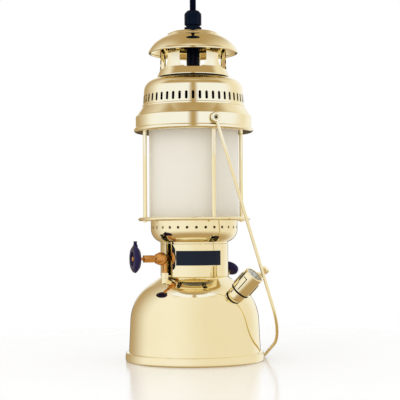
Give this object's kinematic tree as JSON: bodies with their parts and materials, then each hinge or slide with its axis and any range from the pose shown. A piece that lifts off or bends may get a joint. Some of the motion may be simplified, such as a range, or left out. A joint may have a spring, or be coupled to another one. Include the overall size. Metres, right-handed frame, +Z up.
{
  "type": "electric lantern",
  "caption": "Polished brass pendant lantern with a frosted glass, a bell-shaped tank, a vented hood, a swinging bail and a straight cord to a ceiling rose.",
  "frame": {"origin": "centre of the foot on the surface that the lantern stands on", "axes": "+Z up along the cord and the lantern's axis, -Y towards the badge at the front, +X towards the filler cap's side"},
  "size_m": [0.1847, 0.1818, 0.6222],
  "materials": {
    "polished_brass": "mirror polish, clear lacquer",
    "copper_brass": "cast and turned, satin, copper-coloured",
    "dull_brass": "drawn, satin",
    "blue_plastic": "deep blue thermoset, soft gloss",
    "badge_enamel": "dark navy enamel on brass",
    "frosted_glass": "etched, milky",
    "lamp_glass": "frosted inside",
    "clear_glass": "clear",
    "dial_paint": "matt pale grey",
    "black_rubber": "matt",
    "pump_leather": "oiled",
    "black_plastic": "moulded, fine grain",
    "cord_rubber": "round sheath, semi-matt",
    "holder_plastic": "moulded",
    "stem_paint": "black lacquer, satin",
    "lamp_cap_metal": "rolled",
    "bracket_steel": "zinc plated"
  },
  "bodies": {
    "lantern": {"foot_band": "polished_brass", "base_plate": "polished_brass", "tank_bell": "polished_brass", "tank_top_plate": "polished_brass", "collar": "polished_brass", "gallery_cup": "polished_brass", "gallery_ring": "polished_brass", "post_front_right": "polished_brass", "post_back_right": "polished_brass", "post_back_left": "polished_brass", "post_front_left": "polished_brass", "post_nuts": "polished_brass", "rim_ring": "polished_brass", "bail_pivots": "polished_brass", "vent_dome": "polished_brass", "hood_neck": "polished_brass", "hood_brim": "polished_brass", "top_cap": "polished_brass", "filler_neck": "polished_brass", "pump_bush": "polished_brass", "riser_nut": "polished_brass", "riser_boss": "polished_brass", "valve_body": "copper_brass", "packing_nut": "copper_brass", "pump_barrel": "dull_brass", "pump_valve": "dull_brass", "stem_nut": "dull_brass", "badge_plate": "badge_enamel", "glass_cylinder": "frosted_glass", "bulb": "lamp_glass", "gland_body": "black_plastic", "gland_nut": "black_plastic", "ceiling_rose": "black_plastic", "cord_grip": "black_plastic", "cord": "cord_rubber", "lamp_cable": "cord_rubber", "stem_tube": "stem_paint", "lamp_holder": "holder_plastic", "holder_ring": "holder_plastic", "bulb_cap": "lamp_cap_metal", "ceiling_bracket": "bracket_steel", "rose_screws": "bracket_steel"},
    "bail": {"bail": "polished_brass"},
    "hand_wheel": {"valve_spindle": "copper_brass", "hand_wheel": "blue_plastic", "wheel_screw": "copper_brass"},
    "filler_cap": {"filler_gasket": "black_rubber", "filler_cap": "polished_brass", "gauge_dial": "dial_paint", "gauge_glass": "clear_glass"},
    "release_screw": {"release_screw": "polished_brass"},
    "pump": {"pump_rod": "dull_brass", "pump_knob": "blue_plastic", "pump_cup": "pump_leather"}
  },
  "joints": [
    {"name": "bail_swing", "type": "hinge", "parent": "lantern", "child": "bail", "pos_m": [0, 0, 0.28961], "axis": [0.3502, -0.9367, 0], "range_deg": [0, 160]},
    {"name": "hand_wheel_turn", "type": "hinge", "parent": "lantern", "child": "hand_wheel", "pos_m": [-0.03499, -0.03063, 0.12461], "axis": [-0.9511, -0.309, 0], "range_deg": [0, 180]},
    {"name": "filler_cap_turn", "type": "hinge", "parent": "lantern", "child": "filler_cap", "pos_m": [0.04991, -0.04338, 0.08181], "axis": [0.6189, -0.3291, 0.7133], "range_deg": [0, 280]},
    {"name": "release_screw_turn", "type": "hinge", "parent": "filler_cap", "child": "release_screw", "pos_m": [0.0581, -0.02966, 0.08103], "axis": [0.6189, -0.3291, 0.7133], "range_deg": [0, 360]},
    {"name": "pump_stroke", "type": "slide", "parent": "lantern", "child": "pump", "axis": [0.3823, 0.5167, 0.766], "range_m": [0, 0.055]}
  ]
}
